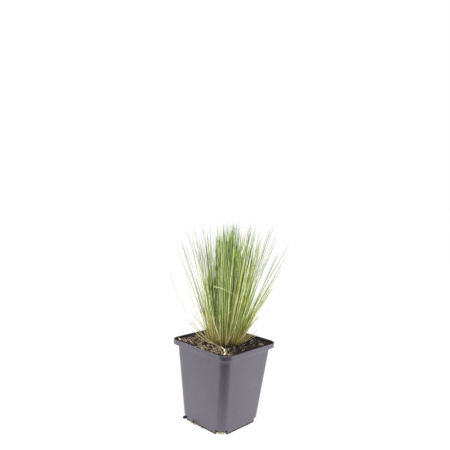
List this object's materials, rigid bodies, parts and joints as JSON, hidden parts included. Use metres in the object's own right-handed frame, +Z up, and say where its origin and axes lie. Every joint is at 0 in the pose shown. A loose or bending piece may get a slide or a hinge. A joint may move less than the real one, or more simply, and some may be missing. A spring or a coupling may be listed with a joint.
{
  "type": "mexican feather grass in a nursery pot",
  "caption": "Young Mexican feather grass: a fountain of thread-thin upright blades rooted in dark compost in a tapered square plastic nursery pot.",
  "frame": {"origin": "centre of the pot's underside, on the surface that it stands on", "axes": "+Z up along the grass; X and Y square to the pot's four sides; the corner with the hanging roots lies at +X, -Y"},
  "size_m": [0.149, 0.1458, 0.242],
  "materials": {
    "pot_plastic": "satin moulded polypropylene, slate grey with a violet cast, fine scuffs and dust",
    "potting_soil": "moist dark peat with fibres, crumbs and bark, fully matte",
    "green_blade": "fresh green thread-like blade, satin, slightly translucent, paler sheath at the base",
    "pale_blade": "yellow-green outer blade, satin, tip fading to straw",
    "dry_blade": "dry straw-coloured blade, matte",
    "root": "pale cream root, matte, dusted with peat",
    "bark": "weathered bark chip, rough",
    "perlite": "chalky expanded mineral grain, matte"
  },
  "bodies": {
    "root": {"pot": "pot_plastic", "soil": "potting_soil", "root_tips": "root", "curled_dry_leaf": "dry_blade", "straw_bit": "dry_blade", "bark_chip_1": "bark", "bark_chip_2": "bark", "bark_chip_3": "bark", "bark_chip_4": "bark", "perlite_1": "perlite", "perlite_2": "perlite", "tuft_01": "green_blade", "tuft_02": "green_blade", "tuft_03": "green_blade", "tuft_04": "green_blade", "tuft_05": "green_blade", "tuft_06": "green_blade", "tuft_07": "green_blade", "tuft_08": "green_blade", "tuft_09": "green_blade", "tuft_10": "green_blade", "tuft_11": "green_blade", "tuft_12": "green_blade", "tuft_13": "green_blade", "tuft_14": "green_blade", "tuft_15": "green_blade", "tuft_16": "green_blade", "tuft_17": "green_blade", "tuft_18": "green_blade", "tuft_19": "green_blade", "outer_tuft_01": "pale_blade", "outer_tuft_03": "pale_blade", "outer_tuft_04": "pale_blade", "outer_tuft_06": "pale_blade", "outer_tuft_07": "pale_blade", "outer_tuft_09": "pale_blade", "outer_tuft_10": "pale_blade", "outer_tuft_12": "pale_blade", "outer_tuft_13": "pale_blade", "outer_tuft_15": "pale_blade", "outer_tuft_16": "pale_blade", "outer_tuft_18": "pale_blade", "outer_tuft_19": "pale_blade", "dry_tuft_02": "dry_blade", "dry_tuft_05": "dry_blade", "dry_tuft_08": "dry_blade", "dry_tuft_11": "dry_blade", "dry_tuft_14": "dry_blade", "dry_tuft_17": "dry_blade", "dry_tuft_20": "dry_blade"}
  },
  "joints": []
}
